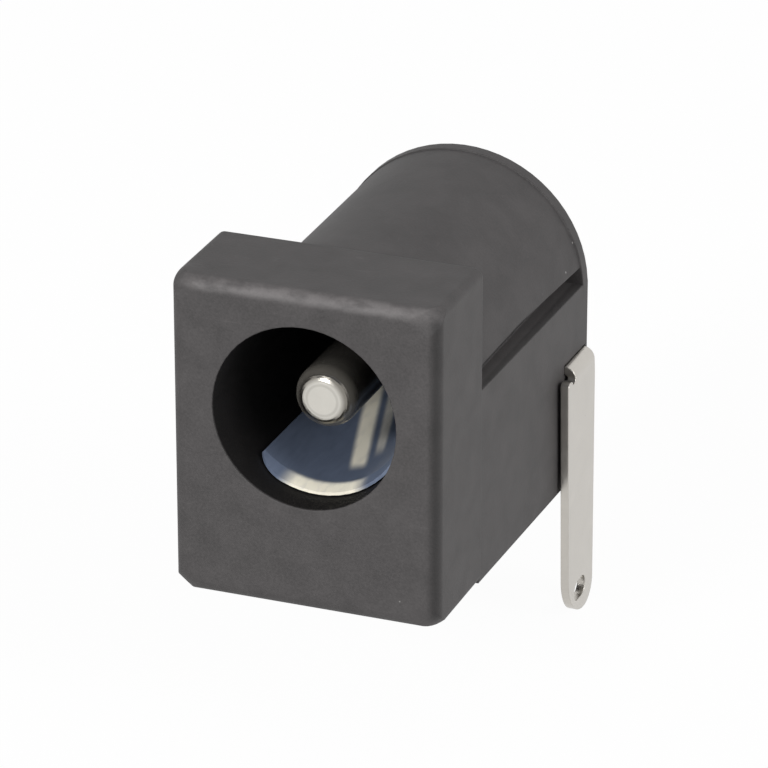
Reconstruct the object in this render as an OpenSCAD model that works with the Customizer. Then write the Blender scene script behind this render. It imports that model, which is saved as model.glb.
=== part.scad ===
// Board-mount DC barrel jack with a switched contact.
// Millimetres, +Z up. The plug enters along +Y, and the housing's underside seats on the board at z = 0.
// Depths are measured from the front face, and the origin is the middle of the housing's underside.

/* [Housing] */
// Width of the front flange
flange_w = 9.0; // [8.6:0.1:9.4]
// Height of the front flange above the board
flange_h = 10.9; // [10.6:0.1:11.4]
// Thickness of the front flange along the plug's axis
flange_t = 3.9; // [3:0.1:4.5]
// Radius along the edges of the front face
flange_round = 0.45; // [0.2:0.05:0.6]
// Radius along the flange's corners that run front to back
flange_corner = 0.3; // [0.2:0.05:0.5]
// Length of the housing, front face to rear face
housing_l = 13.8; // [13.4:0.1:14.6]
// Height of the two ledges beside the barrel
ledge_h = 6.7; // [6.2:0.1:7]
// Width of the lower block where it leaves the flange
block_w = 8.9; // [8.6:0.02:9]
// Width of the housing at the rear face
rear_w = 8.8; // [8.6:0.1:9.1]
// How far the rear end sits to the right of the plug's axis
rear_shift = 0.22; // [0:0.01:0.3]
// Height of the centre of the rear rim's round top
rim_centre_h = 6.5; // [6.3:0.02:6.7]
// Radius of the rear rim
rim_r = 4.4; // [4.38:0.01:4.5]
// Thickness of the rear rim
rim_t = 0.45; // [0.3:0.05:0.8]
// Radius of the barrel where it leaves the flange
barrel_front_r = 4.06; // [3.8:0.01:4.1]
// Radius of the barrel at the rear rim
barrel_rear_r = 4.36; // [4.2:0.01:4.4]
// Distance from the plug's axis to the foot of the groove above each ledge
groove_x = 3.82; // [3.7:0.02:3.9]
// Height of the groove above the ledge
groove_h = 0.6; // [0.4:0.05:0.8]

/* [Plug hole] */
// Height of the plug's axis above the board
axis_h = 6.65; // [6.5:0.05:6.8]
// Radius of the plug hole
hole_r = 3.1; // [3.05:0.05:3.2]
// Depth of the plug hole
hole_depth = 10.0; // [9.6:0.1:10.4]

/* [Centre pin] */
// Radius of the centre pin
pin_r = 1.05; // [1:0.05:1.25]
// Radius of the flat on the pin's tip
pin_flat_r = 0.5; // [0.4:0.05:0.7]
// Depth of the pin's tip behind the front face
pin_tip_y = 1.55; // [1:0.05:2]
// Radius of the pin's tail
pin_tail_r = 0.75; // [0.6:0.05:0.85]
// Radius of the riveted head at the rear
rivet_r = 1.15; // [1:0.05:1.25]
// Height of the riveted head
rivet_t = 0.4; // [0.2:0.05:0.5]

/* [Contacts] */
// Thickness of the rear strip that holds the pin
strip_t = 0.3; // [0.25:0.05:0.35]
// Width of the rear strip
strip_w = 2.6; // [2.2:0.1:3]
// Length of the rear strip's leg below the board seat
strip_leg = 4.7; // [3:0.1:5]
// Thickness of the sleeve contact's sheet
sleeve_t = 0.22; // [0.18:0.02:0.24]
// Length of the sleeve contact's leg below the board seat
sleeve_leg = 3.2; // [2.5:0.1:3.4]
// Thickness of the side terminal's sheet
blade_t = 0.28; // [0.2:0.02:0.3]
// Distance from the plug's axis to the side terminal's outer face
blade_x = 4.98; // [4.96:0.02:5.1]
// Length of the side terminal below the board seat
blade_leg = 4.85; // [4:0.05:5]

/* [Hidden] */

$fn = 96;
arc_steps = 10;      // straight steps in a quarter of a small rounded edge
past = 1;            // how far a cutter runs past the face that it opens
gap = 0.05;          // clearance around a strip in its slot

rim_y = housing_l - rim_t;
rear_reach = rear_w / 2;
corner_reach = norm([flange_w, flange_h]) / 2 - (sqrt(2) - 1) * flange_corner;
corner_round = 0.9;
groove_lean = 0.39;

// The rear strip, from its rounded top to the wire hole near its tip.
strip_y = housing_l - strip_t - 0.1;
strip_top = axis_h + 1.35;
strip_corner_r = 0.4;
strip_tip_r = 0.9;
strip_hole_up = 0.95;
strip_hole_r = 0.4;

// The sleeve contact: a curved plate that lines the lower right of the hole.
plate_out_r = hole_r - 0.05;
plate_rise = 0.22;    // how much nearer the axis the plate is at its rear
plate_front = 1.1;
plate_rear = 7.6;
plate_left_angle = -44;
plate_right_angle = 66;
plate_corner_r = 0.9;
lip_len = 0.5;
lip_drop = 0.12;
leg_y = 8.5;
leg_w = 1.8;
leg_t = sleeve_t;
leg_tip_r = 0.6;
tail_x = [0.7, 1.9];
tail_y = [plate_rear - 1, 12.6];
tail_top = 4.14;
pocket_side = 0.3;    // free space beside the tail
pocket_half_h = 0.6;  // free space above and below it

// The side terminal: a blade with a bent-over top and an arm that runs in over the tail.
blade_front = [10.95, 11.25];   // top and bottom of the front edge
blade_rear = [13.63, 13.73];     // top and bottom of the rear edge
tip_rear_r = 0.8;
shoulder_top = tail_top - 0.04;
shoulder_r = 0.14;
notch = [11.32, 11.68];
notch_floor = 3.92;
bend_r = 0.42;
bend_y = [notch[1], 13.58];
arm_x = tail_x[0];
arm_y = [11.9, 12.9];
eyelet = [12.42, -3.97];
eyelet_half_w = 0.56;
eyelet_r = 0.36;

function arc(c, r, from, to, steps = arc_steps) =
    [for (i = [0:steps]) let (a = from + (to - from) * i / steps) c + r * [cos(a), sin(a)]];

// Moves a piece drawn from the front face so that the origin is the middle of the underside.
module from_front_face() {
    translate([0, -housing_l / 2, 0]) children();
}

// Extrudes an X-Z section along Y.
module along_y(from, to) {
    translate([0, to, 0]) rotate([90, 0, 0]) linear_extrude(to - from) children();
}

// Extrudes a Y-Z section along X.
module along_x(from, to) {
    translate([from, 0, 0]) rotate([90, 0, 90]) linear_extrude(to - from) children();
}

// A round bar on the plug's axis.
module axial(r, from, to) {
    translate([0, from, axis_h]) rotate([-90, 0, 0]) cylinder(h = to - from, r = r);
}

// A block given by its lowest and highest corners.
module block(low, high) {
    translate(low) cube(high - low);
}

module flange_face_outline() {
    half = flange_w / 2 - flange_corner;
    polygon(concat(
        arc([half, flange_corner], flange_corner, -90, 0),
        arc([half, flange_h - flange_corner], flange_corner, 0, 90),
        arc([-half, flange_h - flange_corner], flange_corner, 90, 180),
        arc([-half, flange_corner], flange_corner, 180, 270)));
}

module flange() {
    half = flange_w / 2;
    intersection() {
        along_y(0, flange_t) flange_face_outline();
        linear_extrude(flange_h) polygon(concat(
            arc([half - flange_round, flange_round], flange_round, -90, 0),
            [[half, flange_t], [-half, flange_t]],
            arc([-half + flange_round, flange_round], flange_round, 180, 270)));
        along_x(-half, half) polygon(concat(
            arc([flange_round, flange_round], flange_round, 180, 270),
            [[flange_t, 0], [flange_t, flange_h]],
            arc([flange_round, flange_h - flange_round], flange_round, 90, 180)));
        // rounds the four front corners and leaves the sides alone
        translate([0, 0, flange_h / 2]) rotate([-90, 0, 0]) rotate_extrude() polygon(concat(
            [[0, 0]],
            arc([corner_reach - corner_round, corner_round], corner_round, -90, 0),
            [[corner_reach, flange_t], [0, flange_t]]));
    }
}

// The flat-sided lower half between the flange and the rear rim.
module lower_block() {
    linear_extrude(ledge_h) polygon([
        [-block_w / 2, flange_t - gap],
        [block_w / 2, flange_t - gap],
        [rear_shift + rear_reach, housing_l],
        [rear_shift - rear_reach, housing_l]]);
}

// A cone that leans from the plug's axis to the centre of the rear rim.
module barrel() {
    run = [rear_shift, housing_l - flange_t, rim_centre_h - axis_h];
    length = norm(run);
    widening = past * (barrel_rear_r - barrel_front_r) / length;
    intersection() {
        translate([0, flange_t, axis_h])
            rotate([asin(run.z / length) - 90, 0, -atan2(run.x, run.y)])
                translate([0, 0, -past])
                    cylinder(
                        h = length + 2 * past,
                        r1 = barrel_front_r - widening,
                        r2 = barrel_rear_r + widening);
        block([-rear_w, flange_t - gap, 0], [rear_w, housing_l, rim_centre_h + rear_w]);
    }
}

// The groove that runs along the foot of the barrel, above the right ledge.
module ledge_groove() {
    along_y(flange_t, rim_y) polygon([
        [groove_x, ledge_h],
        [groove_x + past, ledge_h],
        [groove_x + past, ledge_h + groove_h],
        [groove_x + groove_lean, ledge_h + groove_h]]);
}

module rear_rim() {
    translate([rear_shift, rim_y, rim_centre_h]) rotate([-90, 0, 0]) cylinder(h = rim_t, r = rim_r);
}

// Every slot and pocket that holds a contact.
module contact_pockets() {
    // recess for the rear strip, open to the rear and downwards
    block([-strip_w / 2 - gap, strip_y, -past], [strip_w / 2 + gap, housing_l + past, strip_top + gap]);
    // slot for the sleeve contact's leg
    block(
        [-leg_w / 2 - gap, leg_y - gap, -past],
        [leg_w / 2 + gap, leg_y + leg_t + gap, axis_h - hole_r / 2]);
    // pocket where the sleeve contact's tail meets the side terminal's arm
    block(
        [tail_x[0] - pocket_side, tail_y[0] - gap, tail_top - pocket_half_h],
        [tail_x[1] + pocket_side, arm_y[1] + gap, tail_top + pocket_half_h]);
    // slot in the side wall for the arm
    block([tail_x[1], bend_y[0] - gap, tail_top - gap], [rear_w, bend_y[1] + gap, tail_top + blade_t + gap]);
}

module housing() {
    color([0.2, 0.19, 0.19]) from_front_face() difference() {
        union() {
            flange();
            lower_block();
            barrel();
            rear_rim();
        }
        axial(hole_r, -past, hole_depth);
        axial(pin_tail_r, hole_depth - past, housing_l);
        contact_pockets();
        ledge_groove();
        mirror([1, 0, 0]) ledge_groove();
    }
}

module centre_pin() {
    round_r = pin_r - pin_flat_r;
    head_y = strip_y + strip_t;
    color([0.82, 0.8, 0.76]) from_front_face()
        translate([0, 0, axis_h]) rotate([-90, 0, 0]) rotate_extrude() polygon(concat(
            [[0, pin_tip_y]],
            arc([pin_flat_r, pin_tip_y + round_r], round_r, -90, 0),
            [[pin_r, hole_depth], [pin_tail_r, hole_depth], [pin_tail_r, head_y], [rivet_r, head_y]],
            arc([rivet_r - rivet_t, head_y], rivet_t, 0, 90),
            [[0, head_y + rivet_t]]));
}

module pin_terminal() {
    half = strip_w / 2;
    color([0.8, 0.78, 0.73]) from_front_face() difference() {
        along_y(strip_y, strip_y + strip_t) polygon(concat(
            arc([half - strip_corner_r, strip_top - strip_corner_r], strip_corner_r, 0, 90),
            arc([strip_corner_r - half, strip_top - strip_corner_r], strip_corner_r, 90, 180),
            arc([strip_tip_r - half, strip_tip_r - strip_leg], strip_tip_r, 180, 270),
            arc([half - strip_tip_r, strip_tip_r - strip_leg], strip_tip_r, 270, 360)));
        axial(pin_tail_r, strip_y - past, housing_l + past);
        translate([0, strip_y - past, strip_hole_up - strip_leg])
            rotate([-90, 0, 0]) cylinder(h = 2 * past + strip_t, r = strip_hole_r);
    }
}

// The curved plate, with its front lip turned down towards the wall of the hole.
module sleeve_plate() {
    translate([0, 0, axis_h]) rotate([-90, 0, 0]) rotate([0, 0, 90 - plate_right_angle])
        rotate_extrude(angle = plate_right_angle - plate_left_angle) polygon([
            [plate_out_r - sleeve_t + lip_drop, plate_front],
            [plate_out_r, plate_front],
            [plate_out_r, plate_front + lip_len],
            [plate_out_r - plate_rise, leg_y + leg_t],
            [plate_out_r - plate_rise - sleeve_t, leg_y + leg_t],
            [plate_out_r - sleeve_t, plate_front + lip_len]]);
}

// The plate's outline seen from above: a wide front, and a narrow neck that runs back to the leg.
module sleeve_outline() {
    left = plate_out_r * sin(plate_left_angle) - gap;
    linear_extrude(axis_h) polygon(concat(
        arc([left + plate_corner_r, plate_front + plate_corner_r], plate_corner_r, 180, 270),
        [[hole_r, plate_front], [hole_r, plate_rear],
         [leg_w / 2, plate_rear], [leg_w / 2, leg_y + leg_t],
         [-leg_w / 2, leg_y + leg_t], [-leg_w / 2, plate_rear], [left, plate_rear]]));
}

module sleeve_contact() {
    leg_top = axis_h - plate_out_r + plate_rise + sleeve_t / 2;
    color([0.72, 0.73, 0.75]) from_front_face() {
        intersection() {
            sleeve_plate();
            sleeve_outline();
        }
        along_y(leg_y, leg_y + leg_t) polygon(concat(
            [[leg_w / 2, leg_top], [-leg_w / 2, leg_top]],
            arc([leg_tip_r - leg_w / 2, leg_tip_r - sleeve_leg], leg_tip_r, 180, 270),
            arc([leg_w / 2 - leg_tip_r, leg_tip_r - sleeve_leg], leg_tip_r, 270, 360)));
        block([tail_x[0], tail_y[0], tail_top - sleeve_t], [tail_x[1], tail_y[1], tail_top]);
    }
}

// The blade's outline in Y-Z: shoulder and relief notch at the top, a round tip below.
module blade_outline() {
    width = blade_rear[1] - blade_front[1];
    tip_front_r = width - tip_rear_r;
    notch_r = (notch[1] - notch[0]) / 2;
    polygon(concat(
        arc([blade_front[0] + shoulder_r, shoulder_top - shoulder_r], shoulder_r, 180, 90),
        arc([notch[0] - shoulder_r, shoulder_top - shoulder_r], shoulder_r, 90, 0),
        arc([notch[0] + notch_r, notch_floor + notch_r], notch_r, 180, 360),
        [[notch[1], tail_top + blade_t - bend_r], [bend_y[1], tail_top + blade_t - bend_r],
         [blade_rear[0], tail_top + blade_t - 2 * bend_r]],
        arc([blade_rear[1] - tip_rear_r, tip_rear_r - blade_leg], tip_rear_r, 0, -90),
        arc([blade_front[1] + tip_front_r, tip_front_r - blade_leg], tip_front_r, 270, 180, 2 * arc_steps)));
}

// The bent-over top, as an X-Z section: a quarter bend and the start of the arm.
module bend_outline() {
    c = [blade_x - bend_r, tail_top + blade_t - bend_r];
    polygon(concat(
        arc(c, bend_r, 0, 90),
        [[tail_x[1], tail_top + blade_t], [tail_x[1], tail_top]],
        arc(c, bend_r - blade_t, 90, 0)));
}

// An oval hole for the wire: two round ends joined by straight sides.
module eyelet_outline() {
    half = eyelet_half_w - eyelet_r;
    translate(eyelet) polygon(concat(
        arc([half, 0], eyelet_r, -90, 90, 2 * arc_steps),
        arc([-half, 0], eyelet_r, 90, 270, 2 * arc_steps)));
}

module switch_contact() {
    color([0.78, 0.76, 0.73]) from_front_face() {
        difference() {
            along_x(blade_x - blade_t, blade_x) blade_outline();
            along_x(blade_x - blade_t - past, blade_x + past) eyelet_outline();
        }
        along_y(bend_y[0], bend_y[1]) bend_outline();
        block([arm_x, arm_y[0], tail_top], [tail_x[1] + past, arm_y[1], tail_top + blade_t]);
    }
}

housing();
centre_pin();
pin_terminal();
sleeve_contact();
switch_contact();
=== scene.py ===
import math

import bpy
from mathutils import Euler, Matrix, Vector


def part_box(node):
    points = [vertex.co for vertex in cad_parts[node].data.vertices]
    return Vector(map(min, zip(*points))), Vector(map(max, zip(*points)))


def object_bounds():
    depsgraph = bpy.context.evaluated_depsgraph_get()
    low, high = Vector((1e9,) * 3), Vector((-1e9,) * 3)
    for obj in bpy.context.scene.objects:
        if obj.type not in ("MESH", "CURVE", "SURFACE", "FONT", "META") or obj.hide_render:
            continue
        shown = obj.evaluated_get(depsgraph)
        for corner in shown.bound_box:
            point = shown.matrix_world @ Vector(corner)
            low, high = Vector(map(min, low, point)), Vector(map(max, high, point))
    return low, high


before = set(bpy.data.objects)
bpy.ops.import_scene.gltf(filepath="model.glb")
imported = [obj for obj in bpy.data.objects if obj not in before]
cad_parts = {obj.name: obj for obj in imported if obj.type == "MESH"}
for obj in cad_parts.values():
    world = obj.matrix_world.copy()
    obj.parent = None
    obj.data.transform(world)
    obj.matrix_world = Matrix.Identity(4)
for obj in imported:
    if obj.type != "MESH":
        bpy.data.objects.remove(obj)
cad_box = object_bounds()
MM = 0.001

# ---------------------------------------------------------------- places worked out from the frame, in mm
housing_low, housing_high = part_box("housing")
pin_low, pin_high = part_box("centre_pin")

front_y = housing_low[1] / MM
rear_y = housing_high[1] / MM
side_x = -housing_low[0] / MM
top_z = housing_high[2] / MM
axis_z = (pin_low[2] + pin_high[2]) / 2 / MM
tip_y = pin_low[1] / MM
ground_z = cad_box[0][2] / MM

FLANGE_T = 3.9      # thickness of the front flange
EDGE_R = 0.45       # radius along the edges of the front face
LEDGE_Z = 6.7       # height of the ledge beside the barrel
HOLE_R = 3.1        # radius of the plug hole
RIM_T = 0.45        # thickness of the rear rim
STREAK_DEPTH = 2.8  # where the painted reflection streak starts on the sleeve contact
STREAK_TURN = 15.0  # its angle there, in degrees to the right of straight down
STREAK_LEAN = -6.0  # and how that angle changes for each mm of depth


# ---------------------------------------------------------------- shader helper
class Finish:
    """One material, with short calls for the nodes that the finishes share. Places are in mm."""

    def __init__(self, name, round_edges=0.0):
        self.material = bpy.data.materials.new(name)
        self.material.use_nodes = True
        self.nodes = self.material.node_tree.nodes
        self.links = self.material.node_tree.links
        self.shader = self.nodes["Principled BSDF"]
        place = self.nodes.new("ShaderNodeTexCoord").outputs["Object"]
        self.place = self.vector("SCALE", place, scale=1 / MM)
        parts = self.nodes.new("ShaderNodeSeparateXYZ")
        self.links.new(self.place, parts.inputs[0])
        self.x, self.y, self.z = parts.outputs
        self.round_edges = round_edges

    def feed(self, socket, value):
        if isinstance(value, bpy.types.NodeSocket):
            self.links.new(value, socket)
        elif isinstance(value, tuple) and len(value) == 3 and socket.type == "RGBA":
            socket.default_value = (*value, 1)
        else:
            socket.default_value = value

    def vector(self, operation, a, b=None, scale=1.0):
        node = self.nodes.new("ShaderNodeVectorMath")
        node.operation = operation
        self.feed(node.inputs[0], a)
        if b is not None:
            self.feed(node.inputs[1], b)
        if operation == "SCALE":
            node.inputs["Scale"].default_value = scale
        return node.outputs[0]

    def math(self, operation, a, b=0.0):
        node = self.nodes.new("ShaderNodeMath")
        node.operation = operation
        self.feed(node.inputs[0], a)
        self.feed(node.inputs[1], b)
        return node.outputs[0]

    def product(self, *values):
        result = values[0]
        for value in values[1:]:
            result = self.math("MULTIPLY", result, value)
        return result

    def rise(self, value, low, high):
        """0 below low, 1 above high and smooth between; low may be the larger one."""
        node = self.nodes.new("ShaderNodeMapRange")
        node.interpolation_type = "SMOOTHSTEP"
        self.feed(node.inputs["Value"], value)
        node.inputs["From Min"].default_value = min(low, high)
        node.inputs["From Max"].default_value = max(low, high)
        node.inputs["To Min"].default_value = 0.0 if low < high else 1.0
        node.inputs["To Max"].default_value = 1.0 if low < high else 0.0
        return node.outputs["Result"]

    def band(self, value, centre, half, soft):
        """1 within half of centre, fading to 0 over soft."""
        away = self.math("ABSOLUTE", self.math("SUBTRACT", value, centre))
        return self.rise(away, half + soft, half)

    def noise(self, scale, detail=3.0, stretch=(1, 1, 1), distortion=0.0):
        node = self.nodes.new("ShaderNodeTexNoise")
        self.feed(node.inputs["Vector"], self.vector("MULTIPLY", self.place, stretch))
        node.inputs["Scale"].default_value = scale
        node.inputs["Detail"].default_value = detail
        node.inputs["Distortion"].default_value = distortion
        return node.outputs["Fac"]

    def specks(self, per_mm, size, share):
        """Sparse round specks: a share of the cells each hold one of about this size in mm."""
        node = self.nodes.new("ShaderNodeTexVoronoi")
        self.feed(node.inputs["Vector"], self.place)
        node.inputs["Scale"].default_value = per_mm
        chance = self.nodes.new("ShaderNodeSeparateColor")
        self.links.new(node.outputs["Color"], chance.inputs[0])
        dot = self.rise(node.outputs["Distance"], size * per_mm, size * per_mm * 0.4)
        return self.product(dot, self.math("GREATER_THAN", chance.outputs[0], 1 - share))

    def blend(self, share, a, b):
        node = self.nodes.new("ShaderNodeMix")
        node.data_type = "RGBA"
        self.feed(node.inputs["Factor"], share)
        self.feed(node.inputs["A"], a)
        self.feed(node.inputs["B"], b)
        return node.outputs["Result"]

    def shade(self, colour, factor):
        """A colour multiplied by a number."""
        grey = self.nodes.new("ShaderNodeCombineXYZ")
        for socket in grey.inputs:
            self.feed(socket, factor)
        return self.vector("MULTIPLY", colour, grey.outputs[0])

    def done(self, colour, roughness, metallic=0.0, height=None, bump=0.0, specular=0.5):
        self.feed(self.shader.inputs["Base Color"], colour)
        self.feed(self.shader.inputs["Roughness"], roughness)
        self.feed(self.shader.inputs["Metallic"], metallic)
        self.feed(self.shader.inputs["Specular IOR Level"], specular)
        normal = None
        if self.round_edges:
            edge = self.nodes.new("ShaderNodeBevel")
            edge.samples = 6
            edge.inputs["Radius"].default_value = self.round_edges * MM
            normal = edge.outputs["Normal"]
        if height is not None:
            relief = self.nodes.new("ShaderNodeBump")
            relief.inputs["Strength"].default_value = bump
            relief.inputs["Distance"].default_value = 0.02 * MM
            self.feed(relief.inputs["Height"], height)
            if normal is not None:
                self.feed(relief.inputs["Normal"], normal)
            normal = relief.outputs["Normal"]
        if normal is not None:
            self.feed(self.shader.inputs["Normal"], normal)
        return self.material


# ---------------------------------------------------------------- finishes
def plastic():
    f = Finish("housing_plastic", round_edges=0.07)
    depth = f.math("SUBTRACT", f.y, front_y)
    across = f.math("ABSOLUTE", f.x)
    up = f.math("SUBTRACT", f.z, axis_z)
    radius = f.math("SQRT", f.math("ADD", f.product(f.x, f.x), f.product(up, up)))

    grain = f.noise(14, 4)
    mottle = f.noise(0.9, 3, distortion=0.4)
    scratches = f.rise(f.noise(3, 2, stretch=(0.25, 1, 6), distortion=1.2), 0.66, 0.74)

    # tone: 1 is the plain moulded face
    tone = f.math("ADD", f.product(f.math("SUBTRACT", grain, 0.5), 0.8), 1.0)
    tone = f.math("ADD", tone, f.product(f.math("SUBTRACT", mottle, 0.5), 0.6))
    tone = f.math("ADD", tone, f.product(scratches, 0.18))

    # painted highlight along the rounded top front edge, broken up by ragged scuffs
    top_edge_highlight_and_scuff = f.product(
        f.rise(depth, EDGE_R * 1.1, EDGE_R * 0.3),
        f.rise(f.z, top_z - EDGE_R * 1.1, top_z - EDGE_R * 0.4))
    ragged = f.rise(f.noise(2.2, 5, stretch=(0.6, 1, 1)), 0.3, 0.62)
    tone = f.math("ADD", tone, f.product(top_edge_highlight_and_scuff, f.math("ADD", 0.35, ragged), 1.1))

    # the right front edge turns away from the light
    turn = f.product(f.rise(f.x, side_x - EDGE_R, side_x - 0.12), f.rise(depth, 0.5, 0.1))
    tone = f.product(tone, f.math("SUBTRACT", 1.0, f.product(turn, 0.6)))

    # seam between flange and body: a painted shadow line in the gap, then a painted highlight where the
    # edge catches the light
    beside = f.rise(across, side_x - 0.35, side_x - 0.2)
    below = f.rise(f.z, LEDGE_Z + 0.05, LEDGE_Z - 0.05)
    seam_shadow_line = f.product(f.band(depth, FLANGE_T + 0.02, 0.03, 0.04), beside, below)
    seam_highlight_line = f.product(f.band(depth, FLANGE_T + 0.12, 0.03, 0.04), beside, below)
    tone = f.math("SUBTRACT", tone, f.product(seam_shadow_line, 0.35))
    tone = f.math("ADD", tone, f.product(seam_highlight_line, 0.15))

    # groove where the barrel meets the ledge: painted light on its floor, and the barrel's soft shadow
    # painted just above it
    behind = f.rise(depth, FLANGE_T - 0.02, FLANGE_T + 0.02)
    before_rim = f.rise(f.y, rear_y - RIM_T + 0.05, rear_y - RIM_T - 0.05)
    over = f.math("SUBTRACT", f.z, LEDGE_Z)
    groove_floor_light = f.product(f.band(over, 0.0, 0.02, 0.02), f.rise(across, side_x - 0.2, side_x - 0.32))
    barrel_foot_shadow = f.product(
        f.rise(over, 0.9, 0.0),
        f.rise(over, -0.03, 0.0),
        f.rise(across, side_x - 0.05, side_x - 0.15))
    tone = f.product(tone, f.math("SUBTRACT", 1.0, f.product(barrel_foot_shadow, behind, before_rim, 0.1)))
    tone = f.math("ADD", tone, f.product(groove_floor_light, behind, before_rim, 0.5))

    # painted shade inside the moulded bore
    bore = f.product(f.rise(radius, HOLE_R + 0.03, HOLE_R + 0.01), f.rise(depth, 0.0, 0.12))
    tone = f.product(tone, f.math("SUBTRACT", 1.0, f.product(bore, 0.78)))

    dust = f.specks(0.9, 0.05, 0.25)
    colour = f.shade((0.046, 0.043, 0.043), tone)
    colour = f.blend(f.product(dust, 0.8), colour, (0.3, 0.29, 0.28))
    roughness = f.math("ADD", 0.5, f.product(grain, 0.2))
    specular = f.math("SUBTRACT", 0.3, f.product(bore, 0.2))
    height = f.math("ADD", grain, f.product(mottle, 0.6))
    return f.done(colour, roughness, height=height, bump=0.35, specular=specular)


def pin_plating():
    f = Finish("pin_plating")
    up = f.math("SUBTRACT", f.z, axis_z)
    radius = f.math("SQRT", f.math("ADD", f.product(f.x, f.x), f.product(up, up)))
    turning = f.noise(9, 2, stretch=(1, 4, 1))
    stain = f.noise(1.6, 4)
    # painted dark reflection of the bore: a ring at the edge of the flat tip
    rim = f.band(radius, 0.52, 0.02, 0.05)
    tone = f.math("ADD", 0.94, f.product(stain, 0.14))
    tone = f.math("SUBTRACT", tone, f.product(rim, 0.15))
    colour = f.shade((0.62, 0.6, 0.55), tone)
    shank_shade = f.rise(f.y, tip_y + 0.5, tip_y + 1.4)
    metallic = f.math("SUBTRACT", 1.0, f.product(f.rise(radius, 0.7, 0.95), 0.35))
    # painted dark reflection of the bore over the rounded part of the tip
    colour = f.blend(f.product(f.rise(radius, 0.55, 0.8), 0.8), colour, (0.12, 0.108, 0.09))
    # painted shade on the pin further back in the bore
    colour = f.blend(f.product(shank_shade, 0.7), colour, (0.03, 0.028, 0.026))
    return f.done(colour, f.math("ADD", 0.13, f.product(turning, 0.1)), metallic, turning, 0.12)


def terminal_plating():
    f = Finish("terminal_plating", round_edges=0.05)
    brushed = f.noise(7, 3, stretch=(1, 6, 0.4))
    stain = f.noise(0.7, 4, distortion=0.6)
    tone = f.math("ADD", 0.9, f.product(stain, 0.16))
    tone = f.math("ADD", tone, f.product(f.math("SUBTRACT", brushed, 0.5), 0.12))
    pits = f.specks(1.6, 0.03, 0.2)
    colour = f.shade((0.54, 0.515, 0.475), tone)
    colour = f.blend(f.product(pits, 0.6), colour, (0.3, 0.28, 0.25))
    return f.done(colour, f.math("ADD", 0.24, f.product(brushed, 0.14)), 1.0, brushed, 0.15)


def spring_plating():
    f = Finish("spring_plating")
    depth = f.math("SUBTRACT", f.y, front_y)
    below = f.math("SUBTRACT", axis_z, f.z)
    turn = f.math("MULTIPLY", f.math("ARCTAN2", f.x, below), 180 / math.pi)
    grain = f.noise(5, 3, stretch=(1, 0.25, 1))
    # the plate's colours are painted reflections: dark blue for the room in front and above, pale warm
    # for a lamp
    reflected_dark_blue = (0.17, 0.21, 0.3)
    reflected_cream = (0.98, 0.93, 0.78)
    # painted reflections: a bright streak that leans across the plate, a fainter one beside it, and the
    # bright front lip
    along = f.math("ADD", f.product(f.math("SUBTRACT", depth, STREAK_DEPTH), STREAK_LEAN), STREAK_TURN)
    offset = f.math("SUBTRACT", turn, along)
    streak = f.product(f.band(offset, 0.0, 3.0, 5.0), f.rise(depth, 2.4, 3.2))
    second = f.product(f.band(offset, 14.0, 1.5, 3.5), f.rise(depth, 3.2, 4.4), 0.55)
    lip = f.product(f.rise(depth, 1.75, 1.45), f.band(turn, 4.0, 18.0, 14.0))
    light = f.math("MINIMUM", f.math("ADD", f.math("ADD", streak, second), lip), 1.0)
    light = f.product(light, f.math("ADD", 0.75, f.product(grain, 0.5)))
    colour = f.blend(light, f.shade(reflected_dark_blue, f.math("ADD", 0.8, f.product(grain, 0.4))), reflected_cream)
    metallic = f.math("SUBTRACT", 0.3, f.product(light, 0.28))
    return f.done(colour, f.math("ADD", 0.25, f.product(grain, 0.15)), metallic, grain, 0.1)


def give(node, material):
    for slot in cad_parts[node].material_slots:
        slot.material = material


strip_metal = terminal_plating()
give("housing", plastic())
give("centre_pin", pin_plating())
give("pin_terminal", strip_metal)
give("switch_contact", strip_metal)
give("sleeve_contact", spring_plating())

# ---------------------------------------------------------------- camera
AIM = Vector((0.764, -1.9, 5.932)) * MM
AZIMUTH = math.radians(21.12)
ELEVATION = math.radians(23.77)
DISTANCE = 163.69 * MM


def direction(azimuth, elevation):
    """From the object towards the viewer; azimuth 0 is the front, and positive is to the right."""
    flat = math.cos(elevation)
    return Vector((math.sin(azimuth) * flat, -math.cos(azimuth) * flat, math.sin(elevation)))


camera_data = bpy.data.cameras.new("camera")
camera_data.sensor_width = 36
camera_data.lens = 239.55
camera_data.clip_start = 0.01
camera = bpy.data.objects.new("camera", camera_data)
camera.location = AIM + direction(AZIMUTH, ELEVATION) * DISTANCE
camera.rotation_euler = Euler((math.pi / 2 - ELEVATION, 0, AZIMUTH))
bpy.context.scene.collection.objects.link(camera)
bpy.context.scene.camera = camera


# ---------------------------------------------------------------- studio
def seen_directly(nodes, links):
    """1 for rays from the camera, and for mirror and see-through rays."""
    path = nodes.new("ShaderNodeLightPath")
    total = path.outputs["Is Camera Ray"]
    for name in ("Is Glossy Ray", "Is Transmission Ray"):
        add = nodes.new("ShaderNodeMath")
        add.use_clamp = True
        links.new(total, add.inputs[0])
        links.new(path.outputs[name], add.inputs[1])
        total = add.outputs[0]
    return total


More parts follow.
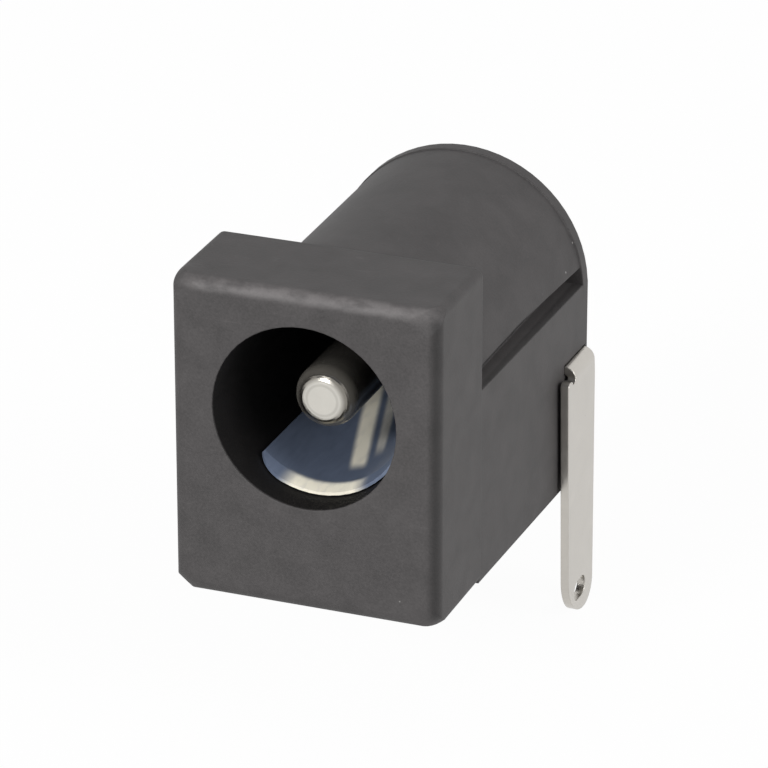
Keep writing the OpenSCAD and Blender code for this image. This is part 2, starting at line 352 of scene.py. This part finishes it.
def make_floor():
    """A white table: nearly all glow where it is looked at, so that only a faint shadow is left."""
    bpy.ops.mesh.primitive_plane_add(size=4, location=(0, 0, ground_z * MM))
    floor = bpy.context.object
    floor.name = "floor"
    material = bpy.data.materials.new("table_white")
    material.use_nodes = True
    nodes, links = material.node_tree.nodes, material.node_tree.links
    shader = nodes["Principled BSDF"]
    shader.inputs["Base Color"].default_value = (0.8, 0.8, 0.8, 1)
    shader.inputs["Roughness"].default_value = 1.0
    shader.inputs["Specular IOR Level"].default_value = 0.0
    glow = nodes.new("ShaderNodeEmission")
    glow.inputs["Strength"].default_value = 1.0
    mix = nodes.new("ShaderNodeMixShader")
    share = nodes.new("ShaderNodeMath")
    share.operation = "MULTIPLY"
    links.new(seen_directly(nodes, links), share.inputs[0])
    share.inputs[1].default_value = 0.96
    links.new(share.outputs[0], mix.inputs[0])
    links.new(shader.outputs[0], mix.inputs[1])
    links.new(glow.outputs[0], mix.inputs[2])
    links.new(mix.outputs[0], nodes["Material Output"].inputs["Surface"])
    floor.data.materials.append(material)


def make_world():
    world = bpy.data.worlds.new("studio")
    bpy.context.scene.world = world
    world.use_nodes = True
    nodes, links = world.node_tree.nodes, world.node_tree.links
    background = nodes["Background"]
    background.inputs["Color"].default_value = (1, 1, 1, 1)
    level = nodes.new("ShaderNodeMapRange")
    level.inputs["To Min"].default_value = 0.5
    level.inputs["To Max"].default_value = 1.0
    links.new(seen_directly(nodes, links), level.inputs["Value"])
    links.new(level.outputs["Result"], background.inputs["Strength"])


def card(name, azimuth, elevation, distance, width, height, colour, strength):
    """A flat card that only reflections see. Angles in degrees, sizes in metres."""
    bpy.ops.mesh.primitive_plane_add(size=1)
    panel = bpy.context.object
    panel.name = name
    toward = direction(math.radians(azimuth), math.radians(elevation))
    panel.location = Vector((0, 0, axis_z * MM)) + toward * distance
    panel.rotation_euler = toward.to_track_quat("Z", "Y").to_euler()
    panel.scale = (width, height, 1)
    material = bpy.data.materials.new(name)
    material.use_nodes = True
    nodes, links = material.node_tree.nodes, material.node_tree.links
    glow = nodes.new("ShaderNodeEmission")
    glow.inputs["Color"].default_value = (*colour, 1)
    glow.inputs["Strength"].default_value = strength
    links.new(glow.outputs[0], nodes["Material Output"].inputs["Surface"])
    panel.data.materials.append(material)
    panel.visible_camera = False
    panel.visible_diffuse = False
    panel.visible_shadow = False
    panel.visible_transmission = False


def lamp(name, azimuth, elevation, distance, size, power):
    """A round soft light aimed at the plug's axis. Angles in degrees, sizes in metres, power in watts."""
    data = bpy.data.lights.new(name, "AREA")
    data.shape = "DISK"
    data.size = size
    data.energy = power
    light = bpy.data.objects.new(name, data)
    toward = direction(math.radians(azimuth), math.radians(elevation))
    light.location = Vector((0, 0, axis_z * MM)) + toward * distance
    light.rotation_euler = toward.to_track_quat("Z", "Y").to_euler()
    bpy.context.scene.collection.objects.link(light)


make_floor()
make_world()
card("dark_ceiling", 0, 62, 1.0, 1.6, 1.0, (0.05, 0.065, 0.1), 1.0)
lamp("side_light", 75, 25, 0.6, 0.3, 2.3)
lamp("front_light", -14, 24, 0.6, 0.16, 2.8)

bpy.context.scene.view_settings.view_transform = "Standard"
